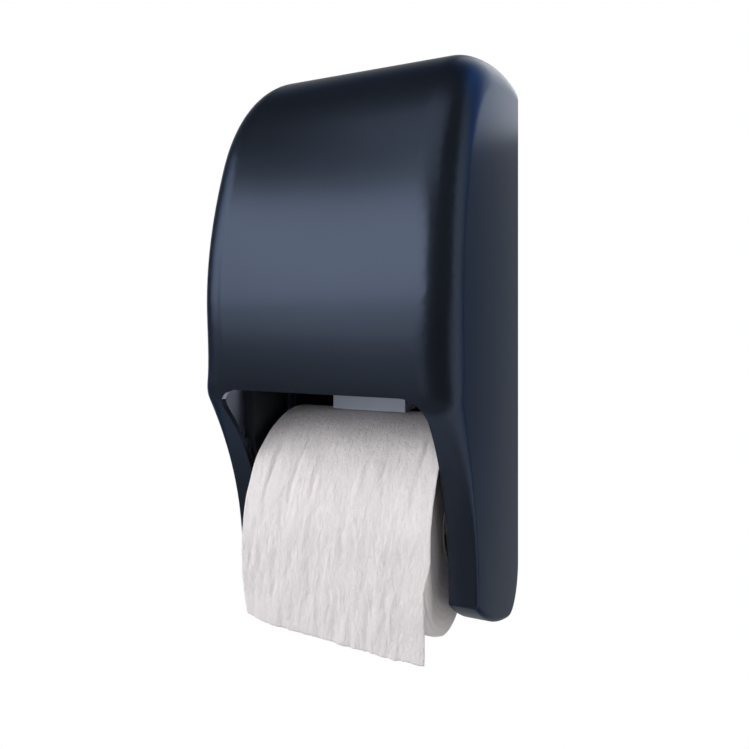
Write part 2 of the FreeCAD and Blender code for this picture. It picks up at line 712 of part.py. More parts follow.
def side_arm(label, side):
    """Flat arm with the track that both roll spindles run in, open to the
    front at its top, and a foot that is screwed to the plate."""
    arm = new_body(label)
    offset, length = both_sides(ARM_IN, ARM_OUT)[side == RIGHT]
    top, corner, seat = ARM_TOP, "dim.arm_corner", LOWER_Z
    reach = f"({ROLL_DEPTH} + dim.arm_ahead)"
    pad(arm, "YZ_Plane", offset, [
        (f"0 - {FOOT_BACK}", ARM_ROOT_Z),
        (f"{ROLL_Y} - dim.arm_bottom_ahead", f"{seat} - dim.arm_bottom_drop"),
        (f"{ROLL_Y} - dim.arm_knee_ahead", f"{seat} + dim.arm_knee_rise"),
        (f"0 - {reach}", f"{seat} + dim.arm_front_drop"),
        (f"0 - {reach}", f"{top} - {corner}", corner, CW),
        (f"{corner} - {reach}", top),
        (f"0 - {FOOT_BACK}", top)], length)
    ahead = f"({ROLL_Y} - {TRACK_HALF})"
    behind = f"({ROLL_Y} + {TRACK_HALF})"
    exit_z = f"({RESERVE_Z} + dim.track_exit_rise)"
    mouth = f"(0 - {reach} - dim.overrun)"
    drill(arm, "YZ_Plane", "0", [(ROLL_Y, seat, TRACK_HALF)],
          f"4 * {ARM_OUT}", both=True)
    pocket(arm, "YZ_Plane", "0", [
        (ahead, seat), (behind, seat), (behind, f"{exit_z} + {TRACK_HALF}"),
        (mouth, f"{exit_z} + {TRACK_HALF} + dim.track_exit_slope"),
        (mouth, f"{exit_z} - {TRACK_HALF} + dim.track_exit_slope"),
        (ahead, f"{exit_z} - {TRACK_HALF}")], f"4 * {ARM_OUT}", both=True)
    pad(arm, "XZ_Plane", FOOT_BACK,
        box(sided(side, ARM_OUT), ARM_ROOT_Z, sided(side, FOOT_EDGE), top),
        "dim.arm_foot_thickness")
    offset, length = both_sides(
        ARM_OUT, f"({ARM_OUT} + dim.arm_rib_height)")[side == RIGHT]
    pad(arm, "YZ_Plane", offset,
        box(f"0 - {reach}", f"{seat} + dim.arm_front_drop",
            f"dim.arm_rib_width - {reach}", RESERVE_Z), length)
    for end in (LEFT, RIGHT):
        pad(arm, "XY_Plane",
            f"{ARM_MID} + {sided(end, 'dim.arm_gusset_spacing / 2')}"
            " - dim.arm_thickness / 2",
            [(sided(side, ARM_OUT), f"0 - {FOOT_FRONT}"),
             (sided(side, FOOT_EDGE), f"0 - {FOOT_FRONT}"),
             (sided(side, ARM_OUT),
              f"0 - {FOOT_FRONT} - dim.arm_gusset_length")],
            "dim.arm_thickness")
    drill(arm, "XZ_Plane", "0",
          [(sided(side, SCREW_X), z, "dim.screw_radius + dim.seat_clearance")
           for z in ARM_SCREW_Z], f"4 * {FOOT_FRONT}", both=True)
    drill(arm, "YZ_Plane", "0",
          [(f"0 - {LATCH_Y}", LATCH_Z, "dim.latch_pin_radius")],
          f"4 * {ARM_OUT}", both=True)
    return arm


def screws(label, circles, seat):
    """Screws along y: shanks in the plate, heads on a foot's front face."""
    group = new_body(label)
    round_pad(group, "XZ_Plane", "dim.screw_floor",
              circles("dim.screw_radius"), f"{seat} - dim.screw_floor")
    round_pad(group, "XZ_Plane", seat, circles("dim.screw_head_radius"),
              "dim.screw_head_height")
    return group


def hinge_pin(label, side):
    pin = new_body(label)
    offset, length = both_sides(
        f"({TONGUE_HALF} - dim.hinge_lug_width)",
        f"({CASE_IN} - dim.hinge_bore_floor - dim.hinge_pin_end_gap)",
    )[side == RIGHT]
    round_pad(pin, "YZ_Plane", offset,
              [("0 - dim.heel_radius", HINGE_Z, "dim.hinge_pin_radius")],
              length)
    return pin


# Reserve latches

def reserve_latch(label, side):
    """Rocking latch: its nose is round about the pivot and stands just under
    the reserve trunnion, its tail hangs down to a thumb pad."""
    latch = new_body(label)
    offset, length = both_sides(LATCH_IN, LATCH_OUT)[side == RIGHT]
    y, z = f"(0 - {LATCH_Y})", LATCH_Z
    round_pad(latch, "YZ_Plane", offset, [(y, z, "dim.latch_hub_radius")],
              length)
    span = "sqrt(dim.latch_ahead ^ 2 + dim.latch_below ^ 2)"
    nose = f"({span} - dim.trunnion_radius - dim.seat_clearance)"
    half = "dim.latch_nose_half"
    along = f"sqrt({nose} ^ 2 - {half} ^ 2)"
    u, w = f"dim.latch_ahead / {span}", f"dim.latch_below / {span}"
    pad(latch, "YZ_Plane", offset, [
        (f"{y} + {w} * {half}", f"{z} - {u} * {half}"),
        (f"{y} + {u} * {along} + {w} * {half}",
         f"{z} + {w} * {along} - {u} * {half}", nose, CCW),
        (f"{y} + {u} * {along} - {w} * {half}",
         f"{z} + {w} * {along} + {u} * {half}"),
        (f"{y} - {w} * {half}", f"{z} + {u} * {half}")], length)
    foot = f"({z} - dim.latch_tail_length)"
    tail = "dim.latch_tail_half"
    pad(latch, "YZ_Plane", offset, [
        (f"{y} - {tail}", z), (f"{y} + {tail}", z), (f"{y} + {tail}", foot),
        (f"{y} - dim.latch_pad_reach", foot),
        (f"{y} - dim.latch_pad_reach", f"{foot} + {tail}"),
        (f"{y} - {tail}", f"{foot} + dim.latch_pad_height")], length)
    drill(latch, "YZ_Plane", "0",
          [(y, z, "dim.latch_pin_radius + dim.running_clearance")],
          f"4 * {ARM_OUT}", both=True)
    return latch


def latch_pin(label, side):
    """Pin in the arm, with a head inside the latch and one outside the arm."""
    pin = new_body(label)
    place = [f"(0 - {LATCH_Y})", LATCH_Z]
    head_in = f"({LATCH_IN} - dim.latch_pin_gap)"
    for near, far, radius in (
            (head_in, ARM_OUT, "dim.latch_pin_radius"),
            (f"({head_in} - dim.latch_pin_head_height)", head_in,
             "dim.latch_pin_head_radius"),
            (ARM_OUT, f"({ARM_OUT} + dim.latch_pin_head_height)",
             "dim.latch_pin_head_radius")):
        offset, length = both_sides(near, far)[side == RIGHT]
        round_pad(pin, "YZ_Plane", offset, [(*place, radius)], length)
    return pin


# Brake flap

def brake_flap():
    """Flap on a rod at the back plate that reaches over the lower roll, with
    a flat sole above the paper and an upturned front lip."""
    flap = new_body("brake_flap")
    y, z, thick = "0 - dim.brake_pivot_depth", BRAKE_Z, "dim.brake_thickness"
    sole = f"({LOWER_Z} + dim.roll_radius + dim.brake_gap)"
    tip = f"({ROLL_Y} - dim.brake_tip_reach)"
    heel = f"({tip} + dim.brake_sole_length)"
    round_pad(flap, "YZ_Plane", "0", [(y, z, "dim.brake_knuckle_radius")],
              "dim.brake_width", both=True)
    pad(flap, "YZ_Plane", "0", [
        (y, f"{z} + {thick} / 2"), (heel, f"{sole} + {thick}"),
        (f"{tip} + {thick}", f"{sole} + {thick}"),
        (f"{tip} + {thick}", f"{sole} + dim.brake_lip_height"),
        (tip, f"{sole} + dim.brake_lip_height"), (tip, sole), (heel, sole),
        (y, f"{z} - {thick} / 2")], "dim.brake_width", both=True)
    drill(flap, "YZ_Plane", "0",
          [(y, z, "dim.brake_rod_radius + dim.running_clearance")],
          "2 * dim.brake_width", both=True)
    return flap


def brake_rod():
    rod = new_body("brake_rod")
    round_pad(rod, "YZ_Plane", "0",
              [("0 - dim.brake_pivot_depth", BRAKE_Z, "dim.brake_rod_radius")],
              f"2 * ({BRAKE_LUG_OUT} + dim.brake_rod_overhang)", both=True)
    return rod


# Rolls and spindles

def tube(label, z, outer, inner):
    body = new_body(label)
    round_pad(body, "YZ_Plane", "0", [(ROLL_Y, z, outer), (ROLL_Y, z, inner)],
              "dim.roll_width", both=True)
    return body


def spindle(label, z):
    """Rod with four fins that carry the core, and a trunnion at each end."""
    body = new_body(label)
    round_pad(body, "YZ_Plane", "0", [(ROLL_Y, z, "dim.trunnion_radius")],
              f"2 * ({ARM_OUT} + dim.trunnion_overhang)", both=True)
    round_pad(body, "YZ_Plane", "0", [(ROLL_Y, z, "dim.spindle_rod_radius")],
              "dim.roll_width - 2 * dim.spindle_end_gap", both=True)
    fin = "(dim.core_radius - dim.core_wall - dim.core_clearance)"
    thick = "dim.spindle_fin_thickness / 2"
    for wide, tall in ((fin, thick), (thick, fin)):
        pad(body, "YZ_Plane", "0",
            box(f"{ROLL_Y} - {wide}", f"{z} - {tall}",
                f"{ROLL_Y} + {wide}", f"{z} + {tall}"),
            "dim.roll_width - 2 * dim.spindle_fin_inset", both=True)
    return body


def paper_tail():
    """Torn end of the sheet, hanging from the front of the lower roll."""
    tail = new_body("paper_tail")
    half = "dim.roll_width / 2"
    drop = f"{LOWER_Z} - dim.tail_length"
    pad(tail, "XZ_Plane",
        f"{ROLL_DEPTH} + dim.roll_radius + dim.tail_clearance", [
            (f"0 - {half}", f"{drop} + dim.tail_slant / 2"),
            (half, f"{drop} - dim.tail_slant / 2"),
            (half, f"{LOWER_Z} + dim.tail_lap"),
            (f"0 - {half}", f"{LOWER_Z} + dim.tail_lap")],
        "dim.tail_thickness")
    return tail


# Lock

LOCK_PLACE = ("0", "0 - dim.lock_depth")


def lock_housing():
    """Flanged sleeve in the cover's top."""
    sleeve = new_body("lock_housing")
    round_pad(sleeve, "XY_Plane", LOCK_END,
              [(*LOCK_PLACE, "dim.lock_body_radius")],
              f"{LOCK_SEAT} - {LOCK_END}")
    round_pad(sleeve, "XY_Plane", LOCK_SEAT,
              [(*LOCK_PLACE, "dim.lock_head_radius")], "dim.lock_head_height")
    drill(sleeve, "XY_Plane", f"{LOCK_END} - dim.overrun",
          [(*LOCK_PLACE, "dim.lock_plug_radius + dim.running_clearance")],
          f"{LOCK_TOP} - {LOCK_END} + 2 * dim.overrun", back=True)
    return sleeve


def lock_nut():
    nut = new_body("lock_nut")
    flat = "dim.lock_nut_flats / 2"
    point, side = f"({flat} * 2 / sqrt(3))", f"({flat} / sqrt(3))"
    y = "0 - dim.lock_depth"
    pad(nut, "XY_Plane", f"{LOCK_BOSS_Z} - dim.lock_nut_height", [
        ("0", f"{y} - {point}"), (flat, f"{y} - {side}"),
        (flat, f"{y} + {side}"), ("0", f"{y} + {point}"),
        (f"0 - {flat}", f"{y} + {side}"), (f"0 - {flat}", f"{y} - {side}")],
        "dim.lock_nut_height")
    drill(nut, "XY_Plane", LOCK_END, [(*LOCK_PLACE, "dim.lock_body_radius")],
          f"{LOCK_SEAT} - {LOCK_END}", back=True)
    return nut


def lock_plug():
    """Turning plug with a key slot in its top and a screw hole below."""
    plug = new_body("lock_plug")
    round_pad(plug, "XY_Plane", CAM_TOP,
              [(*LOCK_PLACE, "dim.lock_plug_radius")],
              f"{LOCK_TOP} - {CAM_TOP}")
    y = "0 - dim.lock_depth"
    pocket(plug, "XY_Plane", LOCK_TOP,
           box("0 - dim.lock_key_length / 2", f"{y} - dim.lock_key_width / 2",
               "dim.lock_key_length / 2", f"{y} + dim.lock_key_width / 2"),
           "dim.lock_key_depth")
    drill(plug, "XY_Plane", CAM_TOP, [(*LOCK_PLACE, "dim.cam_screw_radius")],
          "dim.cam_screw_grip", back=True)
    return plug


def lock_cam():
    """Disc with a hanging collar whose slot lets the keeper post out to the
    back when the lock is open, and traps it when the plug is turned."""
    cam = new_body("lock_cam")
    round_pad(cam, "XY_Plane", CAM_BASE, [(*LOCK_PLACE, "dim.cam_radius")],
              "dim.cam_thickness")
    round_pad(cam, "XY_Plane", CAM_END,
              [(*LOCK_PLACE, "dim.cam_radius"),
               (*LOCK_PLACE, "dim.cam_radius - dim.cam_wall")],
              "dim.cam_drop")
    y = "0 - dim.lock_depth"
    pocket(cam, "XY_Plane", CAM_BASE,
           box("0 - dim.cam_slot / 2", y, "dim.cam_slot / 2",
               f"{y} + dim.cam_radius + dim.overrun"),
           "dim.cam_drop + dim.overrun")
    drill(cam, "XY_Plane", CAM_TOP, [(*LOCK_PLACE, "dim.cam_screw_radius")],
          "dim.cam_thickness + dim.overrun")
    return cam


def cam_screw():
    screw = new_body("cam_screw")
    round_pad(screw, "XY_Plane", CAM_BASE,
              [(*LOCK_PLACE, "dim.cam_screw_radius")],
              "dim.cam_thickness + dim.cam_screw_grip")
    round_pad(screw, "XY_Plane", CAM_BASE,
              [(*LOCK_PLACE, "dim.cam_screw_head_radius")],
              "dim.cam_screw_head_height", back=True)
    return screw


def lock_keeper():
    """Bracket on the back plate with the post that the lock's collar grips."""
    keeper = new_body("lock_keeper")
    pad(keeper, "XZ_Plane", FOOT_BACK,
        box("0 - dim.keeper_foot_half", KEEPER_FOOT_Z,
            "dim.keeper_foot_half", KEEPER_HEAD_Z),
        "dim.keeper_foot_thickness")
    front = "(0 - dim.lock_depth - 2 * dim.keeper_post_radius)"
    foot = f"(0 - {FOOT_BACK} - dim.keeper_foot_thickness)"
    pad(keeper, "XY_Plane", SHELF_BASE,
        box("0 - dim.keeper_shelf_half", front, "dim.keeper_shelf_half", foot),
        "dim.keeper_shelf_thickness")
    round_pad(keeper, "XY_Plane", SHELF_TOP,
              [(*LOCK_PLACE, "dim.keeper_post_radius")],
              f"{POST_TOP} - {SHELF_TOP}")
    pad(keeper, "YZ_Plane", "0",
        [(foot, SHELF_BASE), (f"{foot} - dim.keeper_gusset_length", SHELF_BASE),
         (foot, f"{SHELF_BASE} - dim.keeper_gusset_length")],
        "dim.keeper_shelf_thickness", both=True)
    drill(keeper, "XZ_Plane", "0",
          keeper_screw_circles("dim.screw_radius + dim.seat_clearance"),
          f"4 * {FOOT_FRONT}", both=True)
    return keeper


pieces = [
    front_cover(),
    back_plate(),
    side_arm("left_arm", LEFT),
    side_arm("right_arm", RIGHT),
    screws("arm_screws", arm_screw_circles, FOOT_FRONT),
    hinge_pin("left_hinge_pin", LEFT),
    hinge_pin("right_hinge_pin", RIGHT),
    reserve_latch("left_latch", LEFT),
    reserve_latch("right_latch", RIGHT),
    latch_pin("left_latch_pin", LEFT),
    latch_pin("right_latch_pin", RIGHT),
    brake_flap(),
    brake_rod(),
    tube("lower_roll", LOWER_Z, "dim.roll_radius", "dim.core_radius"),
    tube("lower_core", LOWER_Z, "dim.core_radius",
         "dim.core_radius - dim.core_wall"),
    spindle("lower_spindle", LOWER_Z),
    paper_tail(),
    tube("reserve_roll", RESERVE_Z, "dim.roll_radius", "dim.core_radius"),
    tube("reserve_core", RESERVE_Z, "dim.core_radius",
         "dim.core_radius - dim.core_wall"),
    spindle("reserve_spindle", RESERVE_Z),
    lock_housing(),
    lock_nut(),
    lock_plug(),
    lock_cam(),
    cam_screw(),
    lock_keeper(),
    screws("keeper_screws", keeper_screw_circles,
           f"({FOOT_BACK} + dim.keeper_foot_thickness)"),
]
doc.recompute()

failed = [o.Name for o in doc.Objects
          if "Invalid" in o.State or "Error" in o.State]
failed += [p.Label for p in pieces if p.Shape.isNull() or not p.Shape.isValid()]
if failed:
    raise SystemExit("failed: " + ", ".join(failed))

os.makedirs("parts", exist_ok=True)
for piece in pieces:
    piece.Shape.exportStep(f"parts/{piece.Label}.step")
    print(piece.Label, len(piece.Shape.Solids), round(piece.Shape.Volume))
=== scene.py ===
"""Looks of the two-roll toilet paper dispenser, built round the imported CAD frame.

Metres, in the row frame: the wall is y = 0, the viewer stands at -y, +z is up.
"""

import json
import math

import bpy
import numpy as np
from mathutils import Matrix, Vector


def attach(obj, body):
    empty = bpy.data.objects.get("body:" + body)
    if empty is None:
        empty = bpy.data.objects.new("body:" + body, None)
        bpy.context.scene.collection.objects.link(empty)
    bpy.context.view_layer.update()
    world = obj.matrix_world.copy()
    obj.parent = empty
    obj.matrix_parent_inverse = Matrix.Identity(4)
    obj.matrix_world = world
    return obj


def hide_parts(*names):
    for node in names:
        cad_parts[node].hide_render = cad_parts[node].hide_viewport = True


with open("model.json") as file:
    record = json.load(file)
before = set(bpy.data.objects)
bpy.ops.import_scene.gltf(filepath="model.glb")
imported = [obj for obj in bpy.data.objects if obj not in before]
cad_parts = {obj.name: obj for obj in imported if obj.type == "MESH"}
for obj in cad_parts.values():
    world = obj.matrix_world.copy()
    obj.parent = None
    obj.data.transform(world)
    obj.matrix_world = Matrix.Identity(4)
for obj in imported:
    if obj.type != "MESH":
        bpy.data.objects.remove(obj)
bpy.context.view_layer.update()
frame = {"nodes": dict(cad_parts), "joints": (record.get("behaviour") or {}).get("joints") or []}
nodes = frame["nodes"]
joints = {joint["name"]: joint for joint in frame["joints"]}

MM = 0.001

# Rolls, on the axes of their CAD joints
ROLL_Y, LOWER_Z = joints["lower_roll_spin"]["pos_m"][1:]
RESERVE_Z = joints["reserve_roll_spin"]["pos_m"][2]
ROLL_R, CORE_R, ROLL_HALF = 0.0597, 0.021, 0.050


def lin(r, g, b):
    """Linear colour of an sRGB colour in 0..255."""
    def one(c):
        c /= 255
        return c / 12.92 if c <= 0.04045 else ((c + 0.055) / 1.055) ** 2.4
    return (one(r), one(g), one(b), 1.0)


def tint(colour, by):
    """Colour made darker or lighter."""
    return tuple(min(c * by, 1.0) for c in colour[:3]) + (1.0,)


# Materials

class Nodes:
    """Small helper that adds shader nodes and links them by socket name."""

    def __init__(self, name):
        self.material = bpy.data.materials.new(name)
        self.material.use_nodes = True
        self.tree = self.material.node_tree
        self.shader = self.tree.nodes["Principled BSDF"]

    def put(self, socket, value):
        """Links a socket to another socket, or sets it to a plain value."""
        if isinstance(value, bpy.types.NodeSocket):
            self.tree.links.new(value, socket)
        else:
            socket.default_value = value

    def add(self, kind, settings=None, **inputs):
        node = self.tree.nodes.new(kind)
        for key, value in (settings or {}).items():
            setattr(node, key, value)
        for key, value in inputs.items():
            self.put(node.inputs[key.replace("_", " ")], value)
        return node

    def feed(self, socket, value):
        self.put(self.shader.inputs[socket], value)

    def stretch(self, where, scale):
        return self.add("ShaderNodeMapping", Vector=where, Scale=scale).outputs["Vector"]

    def place(self, scale=(1, 1, 1)):
        """Object coordinates, stretched."""
        return self.stretch(self.add("ShaderNodeTexCoord").outputs["Object"], scale)

    def paper(self):
        """Coordinates of a paper mesh, in metres along the sheet."""
        return self.add("ShaderNodeUVMap").outputs["UV"]

    def noise(self, where, scale, detail=2.0, rough=0.5):
        return self.add("ShaderNodeTexNoise", Vector=where, Scale=scale,
                        Detail=detail, Roughness=rough).outputs["Fac"]

    def ramp(self, fac, low, high):
        """Two colours with the places of their stops, as (place, colour)."""
        node = self.add("ShaderNodeValToRGB", Fac=fac)
        for element, (at, colour) in zip(node.color_ramp.elements, (low, high)):
            element.position = at
            element.color = colour
        return node.outputs["Color"]

    def span(self, fac, low, high, start=0.0, end=1.0):
        return self.add("ShaderNodeMapRange", Value=fac, From_Min=start,
                        From_Max=end, To_Min=low, To_Max=high).outputs["Result"]

    def math(self, operation, a, b):
        node = self.add("ShaderNodeMath", {"operation": operation})
        for socket, value in zip(node.inputs, (a, b)):
            self.put(socket, value)
        return node.outputs["Value"]

    def blend(self, a, share, b, other):
        """Weighted sum of two values."""
        return self.math("ADD", self.math("MULTIPLY", a, share), self.math("MULTIPLY", b, other))

    def wave(self, value, length):
        """Sine of a value, with the given wavelength."""
        return self.math("SINE", self.math("MULTIPLY", value, 2 * math.pi / length), 0.0)

    def bump(self, height, strength, distance, below=None):
        node = self.add("ShaderNodeBump", Height=height, Strength=strength, Distance=distance)
        if below is not None:
            self.put(node.inputs["Normal"], below)
        return node.outputs["Normal"]


def skin(n, colour, spread, rough, drift, speckle, grain, strength, depth):
    """Moulded skin: faint flow marks, uneven gloss and a fine spark-eroded grain."""
    where = n.place()
    cloud = n.noise(where, scale=14.0, detail=3.0)
    n.feed("Base Color", n.ramp(cloud, (0.3, tint(colour, 1 - spread)),
                                (0.7, tint(colour, 1 + spread))))
    fine = n.noise(where, scale=grain, detail=2.0, rough=0.6)
    n.feed("Roughness", n.math("ADD", n.span(cloud, rough - drift, rough + drift),
                               n.span(fine, -speckle, speckle)))
    n.feed("Normal", n.bump(fine, strength, depth))


def moulded(name, colour, rough, depth, spread=0.04):
    """Plain moulded plastic."""
    n = Nodes(name)
    skin(n, colour, spread, rough, drift=0.03, speckle=0.04, grain=2200.0,
         strength=0.35, depth=depth)
    n.feed("Specular IOR Level", 0.5)
    return n.material


def pearl(name, colour, rough, edge):
    """Pearl plastic of the cover: most of it answers as a dark metal, so that
    the gloss takes the plastic's own blue and stays low towards the edges."""
    n = Nodes(name)
    skin(n, colour, 0.05, rough, drift=0.02, speckle=0.03, grain=2600.0,
         strength=0.25, depth=0.03 * MM)
    n.feed("Metallic", 0.82)
    n.feed("Specular IOR Level", 0.0)
    n.feed("Specular Tint", edge)
    return n.material


def metal(name, colour, rough, streak):
    """Plated metal with fine streaks along one axis."""
    n = Nodes(name)
    fine = n.noise(n.place(streak), scale=900.0, detail=3.0, rough=0.6)
    cloud = n.noise(n.place(), scale=60.0)
    n.feed("Base Color", n.ramp(cloud, (0.3, tint(colour, 0.88)), (0.7, tint(colour, 1.08))))
    n.feed("Roughness", n.span(fine, rough - 0.07, rough + 0.09))
    n.feed("Normal", n.bump(fine, strength=0.2, distance=0.02 * MM))
    n.feed("Metallic", 1.0)
    return n.material


def crepe(name):
    """Tissue: creped grain that runs along the sheet, with soft pillows."""
    n = Nodes(name)
    uv = n.paper()
    streak = n.noise(n.stretch(uv, (1.0, 0.34, 1.0)), scale=900.0, detail=3.0, rough=0.6)
    fleck = n.noise(n.stretch(uv, (1.0, 0.6, 1.0)), scale=1900.0, rough=0.6)
    pillow = n.noise(n.stretch(uv, (1.0, 0.55, 1.0)), scale=300.0)
    tone = n.blend(streak, 0.6, pillow, 0.4)
    n.feed("Base Color", n.ramp(tone, (0.32, lin(230, 224, 225)), (0.66, lin(238, 233, 234))))
    low = n.bump(pillow, strength=0.6, distance=0.8 * MM)
    mid = n.bump(streak, strength=0.9, distance=0.6 * MM, below=low)
    n.feed("Normal", n.bump(fleck, strength=0.8, distance=0.32 * MM, below=mid))
    n.feed("Roughness", n.span(fleck, 0.82, 0.98))
    n.feed("Specular IOR Level", 0.15)
    n.feed("Sheen Weight", 0.15)
    n.feed("Sheen Roughness", 0.6)
    return n.material


def wound_end(name):
    """Cut end of a wound roll: hundreds of fine layers, a little uneven, in colours darker than
    the sheet's tissue as painted shade.
    """
    n = Nodes(name)
    across = n.add("ShaderNodeSeparateXYZ", Vector=n.paper()).outputs["Y"]
    wobble = n.noise(n.place(), scale=90.0)
    radius = n.math("ADD", across, n.math("MULTIPLY", wobble, 1.2 * MM))
    layers = n.wave(radius, length=0.55 * MM)
    broad = n.wave(radius, length=3.7 * MM)
    fuzz = n.noise(n.place(), scale=1600.0, rough=0.6)
    tone = n.math("ADD", n.blend(layers, 0.16, broad, 0.08), fuzz)
    # Painted shade: the end is coloured darker than the same tissue on the sheet, for the shade
    # it lies in; the rings themselves are the layers' own pattern.
    n.feed("Base Color", n.ramp(tone, (0.1, lin(186, 180, 180)), (0.9, lin(214, 208, 208))))
    n.feed("Normal", n.bump(tone, strength=0.4, distance=0.18 * MM))
    n.feed("Roughness", n.span(fuzz, 0.85, 1.0))
    n.feed("Specular IOR Level", 0.12)
    return n.material


def card(name):
    """Pale grey core card with fibres."""
    n = Nodes(name)
    fibre = n.noise(n.place((0.2, 1.0, 1.0)), scale=1400.0, detail=3.0, rough=0.6)
    blotch = n.noise(n.place(), scale=120.0)
    tone = n.blend(fibre, 0.6, blotch, 0.4)
    n.feed("Base Color", n.ramp(tone, (0.3, lin(168, 158, 146)), (0.7, lin(202, 194, 184))))
    n.feed("Normal", n.bump(fibre, strength=0.4, distance=0.1 * MM))
    n.feed("Roughness", n.span(fibre, 0.8, 0.95))
    n.feed("Specular IOR Level", 0.2)
    return n.material


COVER = pearl("cover_plastic", lin(56, 63, 76), rough=0.30, edge=(0.31, 0.32, 0.33, 1.0))
# Painted light: the inside of the cover is coloured pale, standing in for light that shines
# through its smoky wall.
COVER_INSIDE_PAINTED_LIGHT = moulded("cover_inside_painted_light", lin(200, 210, 230), rough=0.55, depth=0.06 * MM)
FRAME = moulded("frame_plastic", lin(30, 34, 40), rough=0.50, depth=0.08 * MM, spread=0.10)
LIGHT = moulded("light_plastic", lin(198, 207, 224), rough=0.48, depth=0.06 * MM)
SPINDLE = moulded("spindle_plastic", lin(212, 211, 208), rough=0.45, depth=0.06 * MM)
STEEL = metal("zinc_steel", lin(186, 188, 190), rough=0.34, streak=(0.1, 1.0, 1.0))
LOCK = metal("lock_metal", lin(214, 214, 214), rough=0.24, streak=(1.0, 0.15, 1.0))
PAPER = crepe("creped_paper")
# Painted shade: the wound ends are coloured darker than the sheet's tissue.
PAPER_END_PAINTED_SHADE = wound_end("wound_paper_end_painted_shade")
CARD = card("core_card")


# CAD nodes

WELD_REACH = 2e-6
SHARP_ANGLE = math.radians(32)
MOUTH_EDGE_X, EDGE_BAND = 0.0557, 0.002
INWARD = 0.3

DRESS = (
    (COVER, "cover_plastic", ("front_cover",)),
    (FRAME, "frame_plastic", ("back_plate", "left_arm", "right_arm", "lock_keeper")),
    (LIGHT, "light_plastic", ("brake_flap", "left_latch", "right_latch")),
    (SPINDLE, "spindle_plastic", ("lower_spindle", "reserve_spindle")),
    (STEEL, "steel", ("arm_screws", "keeper_screws", "left_hinge_pin", "right_hinge_pin",
                      "left_latch_pin", "right_latch_pin", "brake_rod", "lock_nut",
                      "lock_cam", "cam_screw")),
    (LOCK, "lock_metal", ("lock_housing", "lock_plug")),
    (CARD, "card", ("lower_core", "reserve_core")),
)


def dress(name, material):
    """Material and welded smooth shading with sharp edges on a CAD node."""
    node = nodes[name]
    node.data.materials.clear()
    node.data.materials.append(material)
    for face in node.data.polygons:
        face.use_smooth = True
    weld = node.modifiers.new("weld", "WELD")
    weld.merge_threshold = WELD_REACH
    split = node.modifiers.new("sharp", "EDGE_SPLIT")
    split.split_angle = SHARP_ANGLE
    level = node.modifiers.new("level", "WEIGHTED_NORMAL")
    level.keep_sharp = True


def paint_cover_inside_light(mesh):
    """Painted light: a pale colour on the faces of the cover that look at its middle, standing
    in for light that shines through the smoky wall; not on the upright edges of the mouth."""
    mesh.materials.append(COVER_INSIDE_PAINTED_LIGHT)
    for face in mesh.polygons:
        middle = Vector((0.0, ROLL_Y, max(LOWER_Z, min(RESERVE_Z, face.center.z))))
        towards = (middle - face.center).normalized()
        on_edge = abs(abs(face.center.x) - MOUTH_EDGE_X) < EDGE_BAND
        if face.normal.dot(towards) > INWARD and not on_edge:
            face.material_index = 1


for material, slot, names in DRESS:
    for name in names:
        dress(name, material)
# The inside faces of the cover get the pale painted-light colour.
paint_cover_inside_light(nodes["front_cover"].data)


# Paper

def mesh_object(name, points, faces, uvs, materials, kinds=None):
    """Smooth mesh with a flat paper layout and, by kind, a material per face."""
    mesh = bpy.data.meshes.new(name)
    mesh.from_pydata(points, [], faces)
    layer = mesh.uv_layers.new(name="paper")
    index = np.zeros(len(mesh.loops), np.int32)
    mesh.loops.foreach_get("vertex_index", index)
    layer.data.foreach_set("uv", np.asarray(uvs, np.float32)[index].ravel())
    for material in materials:
        mesh.materials.append(material)
    if kinds is not None:
        mesh.polygons.foreach_set("material_index", kinds)
    mesh.polygons.foreach_set("use_smooth", [True] * len(mesh.polygons))
    mesh.update()
    piece = bpy.data.objects.new(name, mesh)
    bpy.context.scene.collection.objects.link(piece)
    return piece


def ripple(u, v, seed, cells, height):
    """Smooth random field over (u, v), up to the height, from a seeded lattice."""
    rng = np.random.default_rng(seed)
    lattice = rng.uniform(-1, 1, (cells[0] + 3, cells[1] + 3))
    a = np.clip(u, 0, 1) * cells[0]
    b = np.clip(v, 0, 1) * cells[1]
    i, j = np.floor(a).astype(int), np.floor(b).astype(int)
    p, q = a - i, b - j
    p, q = p * p * (3 - 2 * p), q * q * (3 - 2 * q)
    low = lattice[i, j] * (1 - p) + lattice[i + 1, j] * p
    high = lattice[i, j + 1] * (1 - p) + lattice[i + 1, j + 1] * p
    return height * (low * (1 - q) + high * q)


# Wound rolls: steps round the roll, rows across it and rings on each end
TURNS, ROWS, RINGS = 240, 48, 46
END_INSET, ROW_INSET, RING_INSET = 0.0004, 0.0006, 0.0012
SHOULDER_DROP, SHOULDER_WIDTH = 0.0008, 0.0012
LAYER_STEP, LAYER_DRIFT, DRIFT_RINGS = 0.00005, 0.00014, 7
OUTSIDE, END = 0, 1


def roll_end(rng, side):
    """Rings of one end, from the core outwards, whose layers stand a little in
    and out."""
    step = rng.normal(0, LAYER_STEP, RINGS)
    drift = np.convolve(rng.normal(0, LAYER_DRIFT, RINGS),
                        np.ones(DRIFT_RINGS) / DRIFT_RINGS, "same")
    x = side * (ROLL_HALF - END_INSET) + step + drift
    radius = CORE_R + (ROLL_R - RING_INSET - CORE_R) * np.arange(RINGS) / (RINGS - 1)
    return [(x[i], radius[i], END) for i in range(RINGS)]


def roll_outside():
    """Rows across the roll, with softly rounded shoulders."""
    rows = []
    for i in range(ROWS):
        t = i / (ROWS - 1)
        edge = min(t, 1 - t) * 2 * ROLL_HALF
        drop = SHOULDER_DROP * math.exp(-edge / SHOULDER_WIDTH)
        rows.append(((2 * t - 1) * (ROLL_HALF - ROW_INSET), ROLL_R - drop, OUTSIDE))
    return rows


